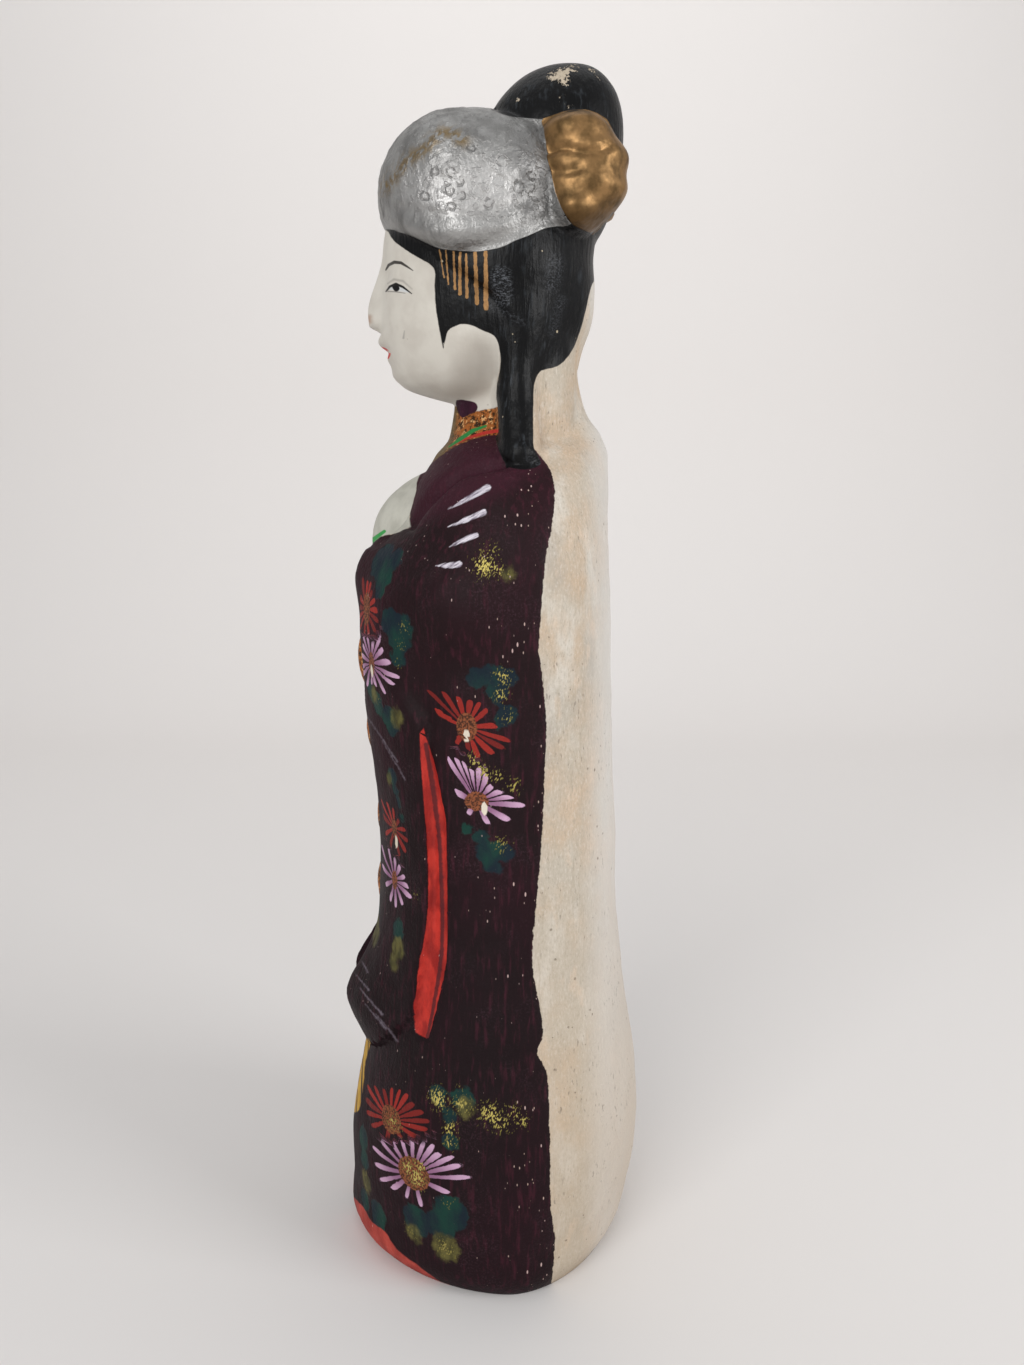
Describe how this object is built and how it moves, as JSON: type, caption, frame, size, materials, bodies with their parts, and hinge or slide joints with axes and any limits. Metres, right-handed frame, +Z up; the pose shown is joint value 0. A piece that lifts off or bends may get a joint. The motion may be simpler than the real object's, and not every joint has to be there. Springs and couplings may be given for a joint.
{
  "type": "japanese clay doll",
  "caption": "Standing moulded clay doll of a woman in a long-sleeved robe, with dressed hair under a padded headcloth, painted in front and bare clay behind.",
  "frame": {"origin": "centre of the flat underside that the doll stands on", "axes": "+Z up from the underside to the hair bun, -Y the way the doll faces, +X its left side"},
  "size_m": [0.087, 0.0783, 0.2995],
  "materials": {
    "painted_clay": "matt paint over unglazed fired clay, bare clay behind"
  },
  "bodies": {
    "root": {"clay_doll": "painted_clay"}
  },
  "joints": []
}
